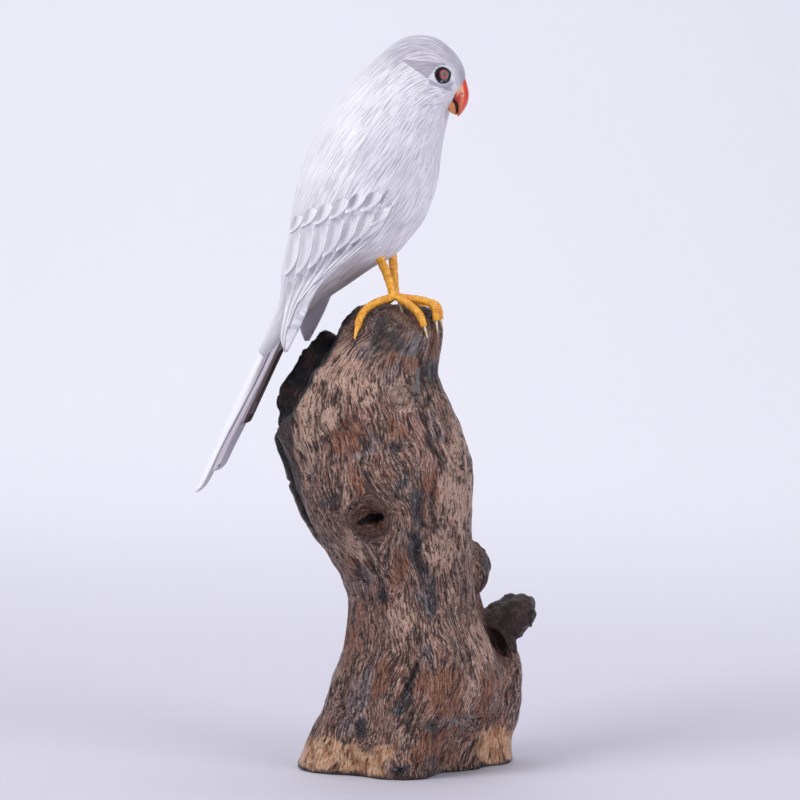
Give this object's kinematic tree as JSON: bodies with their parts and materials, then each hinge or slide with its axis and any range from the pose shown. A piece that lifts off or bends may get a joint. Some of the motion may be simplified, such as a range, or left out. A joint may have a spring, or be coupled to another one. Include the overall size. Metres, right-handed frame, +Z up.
{
  "type": "wooden bird carving",
  "caption": "Carved and painted small white parrot with a long folded tail, standing on wire legs on an upright stump of gnarled root wood that is its plinth.",
  "frame": {"origin": "on the flat underside of the stump, at the centre of its footprint, below the bird's mid-plane", "axes": "+Z up, +X the way the bird faces, so +Y is to the bird's left"},
  "size_m": [0.187, 0.0992, 0.3992],
  "materials": {
    "painted_wood": "white paint with fine grey-lavender plumage strokes, satin",
    "painted_putty": "yellow-ochre gloss paint over wire and putty",
    "root_wood": "weathered brown root wood, thinly varnished"
  },
  "bodies": {
    "root": {"bird": "painted_wood", "leg_right": "painted_putty", "leg_left": "painted_putty", "stump": "root_wood"}
  },
  "joints": []
}
